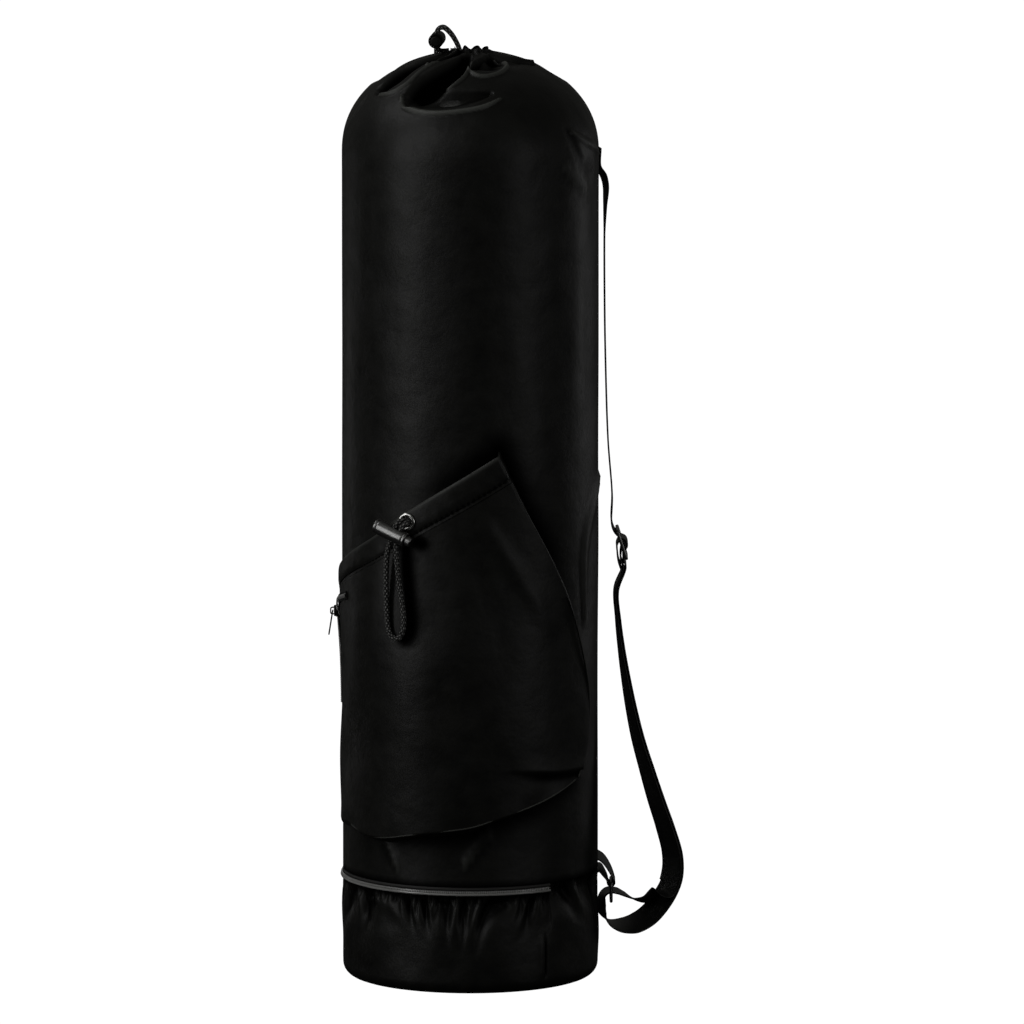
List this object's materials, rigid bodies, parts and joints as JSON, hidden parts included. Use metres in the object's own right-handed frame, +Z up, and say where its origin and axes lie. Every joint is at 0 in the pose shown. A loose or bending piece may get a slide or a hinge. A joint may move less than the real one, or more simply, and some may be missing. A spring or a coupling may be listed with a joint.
{
  "type": "yoga mat bag",
  "caption": "Upright cloth tube bag for a rolled mat: gathered drawcord top, slanted bottle pocket, zipped gathered base and a webbing shoulder strap.",
  "frame": {"origin": "middle of the flat base, on the floor the bag stands on", "axes": "+Z up the tube, -Y the front with the pocket's hem, +X the side with the strap"},
  "size_m": [0.2653, 0.2086, 0.7097],
  "materials": {
    "shell": "smooth near-black woven nylon",
    "webbing": "matte black webbing and zip tape",
    "cord": "black braided cord",
    "coil": "glossy black moulded zip coil",
    "gunmetal": "dark grey satin metal",
    "nickel": "polished nickel"
  },
  "bodies": {
    "bag": {"body_panel": "shell", "base_panel": "shell", "pocket_panel": "shell", "pocket_hem": "shell", "base_zip_tape": "webbing", "side_zip_tape": "webbing", "strap": "webbing", "ring_tab": "webbing", "base_zip_coil": "coil", "side_zip_coil": "coil", "base_zip_slider": "gunmetal", "side_zip_slider": "gunmetal", "pocket_eyelet": "nickel", "pocket_lock_barrel": "gunmetal", "pocket_drawcord": "cord", "top_lock_barrel": "gunmetal", "top_drawcord": "cord", "strap_slider": "gunmetal", "strap_ring": "gunmetal"},
    "pocket_button": {"pocket_lock_button": "gunmetal"},
    "top_button": {"top_lock_button": "gunmetal"},
    "side_pull": {"side_zip_pull": "gunmetal"},
    "base_pull": {"base_zip_pull": "gunmetal"}
  },
  "joints": [
    {"name": "pocket_lock_press", "type": "slide", "parent": "bag", "child": "pocket_button", "axis": [-0.8189, 0.4608, 0.342], "range_m": [0, 0.003], "stiffness_N_per_m": 600},
    {"name": "top_lock_press", "type": "slide", "parent": "bag", "child": "top_button", "axis": [0.0698, 0.9976, 0], "range_m": [0, 0.003], "stiffness_N_per_m": 600},
    {"name": "side_pull_swing", "type": "hinge", "parent": "bag", "child": "side_pull", "pos_m": [-0.10225, -0.00076, 0.27321], "axis": [0.0354, 0.9994, 0], "range_deg": [0, 150]},
    {"name": "base_pull_swing", "type": "hinge", "parent": "bag", "child": "base_pull", "pos_m": [-0.05905, 0.08009, 0.07735], "axis": [0.8049, 0.5934, 0], "range_deg": [0, 150]}
  ]
}
